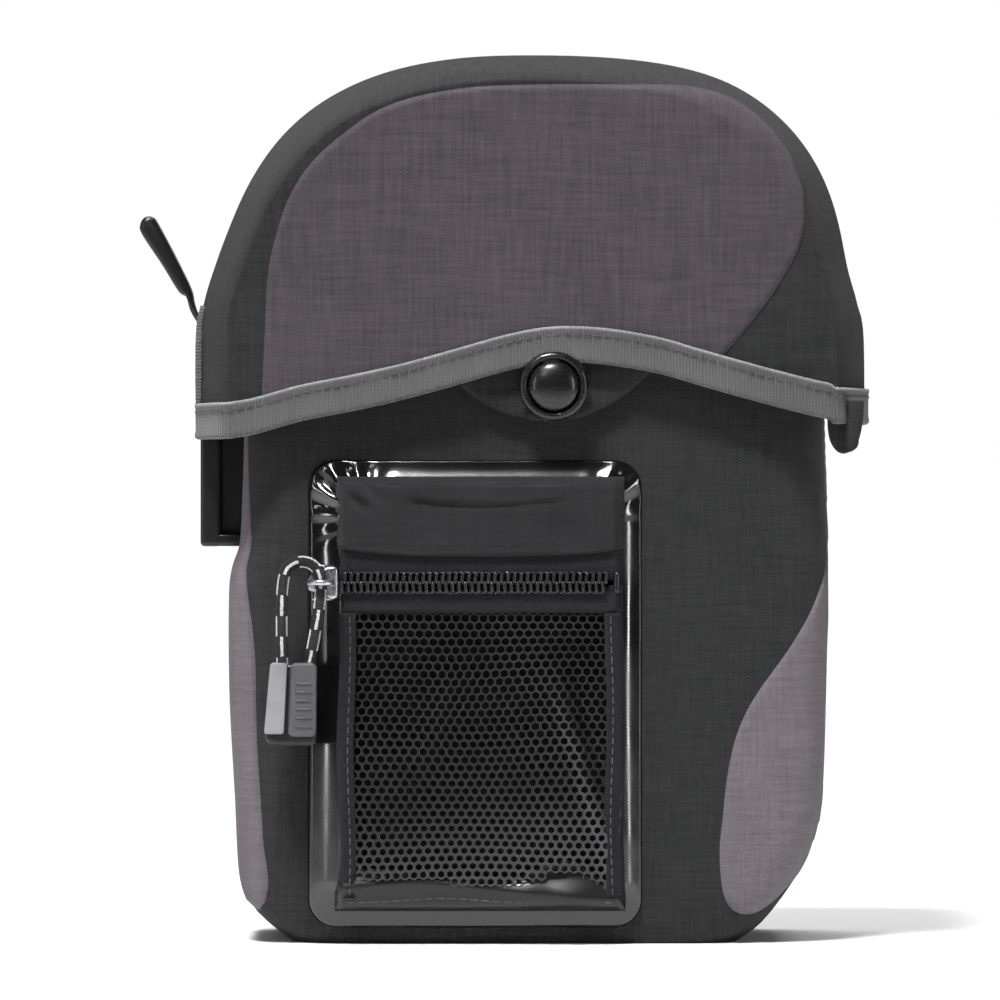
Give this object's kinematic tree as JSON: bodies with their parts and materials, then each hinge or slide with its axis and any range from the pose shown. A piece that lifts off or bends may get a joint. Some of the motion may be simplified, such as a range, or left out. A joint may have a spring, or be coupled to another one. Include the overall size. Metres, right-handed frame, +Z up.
{
  "type": "saddle bag",
  "caption": "Small welded-fabric saddle bag with a snap flap lid, an outside zipped mesh pocket and a slide-on quick-release rail on one flank.",
  "frame": {"origin": "centre of the flat base that the bag stands on", "axes": "+Z up through the bag, -Y out of the front with the pocket, +X to the bag's right as seen from the front, so the mount is on -X"},
  "size_m": [0.1978, 0.1192, 0.24],
  "materials": {
    "dark_canvas": "matt weave",
    "mauve_canvas": "matt weave",
    "grey_tape": "ribbed tape",
    "black_nylon": "satin nylon",
    "black_mesh": "open mesh",
    "gloss_frame": "glossy welded film",
    "black_coil": "satin nylon coil",
    "gloss_black": "glossy lacquer",
    "bright_metal": "polished",
    "cord": "flecked braid",
    "dark_plastic": "moulded satin",
    "light_plastic": "moulded satin",
    "board": "sheet plastic"
  },
  "bodies": {
    "bag": {"front_panel": "dark_canvas", "base_panel": "dark_canvas", "back_panel": "dark_canvas", "hinge_piping": "dark_canvas", "left_side_panel": "mauve_canvas", "right_side_panel": "mauve_canvas", "corner_panel": "mauve_canvas", "pocket_upper_panel": "black_nylon", "zip_tape_upper": "black_nylon", "zip_tape_lower": "black_nylon", "pocket_hem": "black_nylon", "mesh_panel": "black_mesh", "pocket_frame": "gloss_frame", "zip_coil_upper": "black_coil", "zip_coil_lower": "black_coil", "zip_end_stop": "black_coil", "snap_stud": "bright_metal", "stud_backing": "bright_metal", "rail_screws": "bright_metal", "rail_nuts": "bright_metal", "lever_pin": "bright_metal", "lever_spring": "bright_metal", "mount_rail": "dark_plastic", "stiffener_board": "board"},
    "lid": {"lid_front_panel": "dark_canvas", "lid_gusset": "dark_canvas", "lid_back_panel": "dark_canvas", "lid_accent_panel": "mauve_canvas", "lid_binding": "grey_tape", "lid_edge_trim": "grey_tape", "hem_ear": "black_nylon", "snap_tab": "dark_canvas", "snap_ring": "gloss_black", "snap_cap": "gloss_black", "snap_socket": "bright_metal"},
    "slider": {"zip_slider": "bright_metal"},
    "pull": {"pull_cord": "cord", "pull_grip": "dark_plastic", "grip_face": "light_plastic"},
    "lever": {"release_lever": "dark_plastic"}
  },
  "joints": [
    {"name": "lid_hinge", "type": "hinge", "parent": "bag", "child": "lid", "pos_m": [0, 0.04875, 0.212], "axis": [-1, 0, 0], "range_deg": [0, 110]},
    {"name": "zip_slide", "type": "slide", "parent": "bag", "child": "slider", "axis": [1, 0, 0], "range_m": [0, 0.072]},
    {"name": "pull_flip", "type": "hinge", "parent": "slider", "child": "pull", "pos_m": [-0.0565, -0.0622, 0.09715], "axis": [0, 0, 1], "range_deg": [0, 180]},
    {"name": "lever_pivot", "type": "hinge", "parent": "bag", "child": "lever", "pos_m": [-0.0863, 0, 0.163], "axis": [0, -1, 0], "range_deg": [0, 25], "stiffness_Nm_per_rad": 0.05}
  ]
}
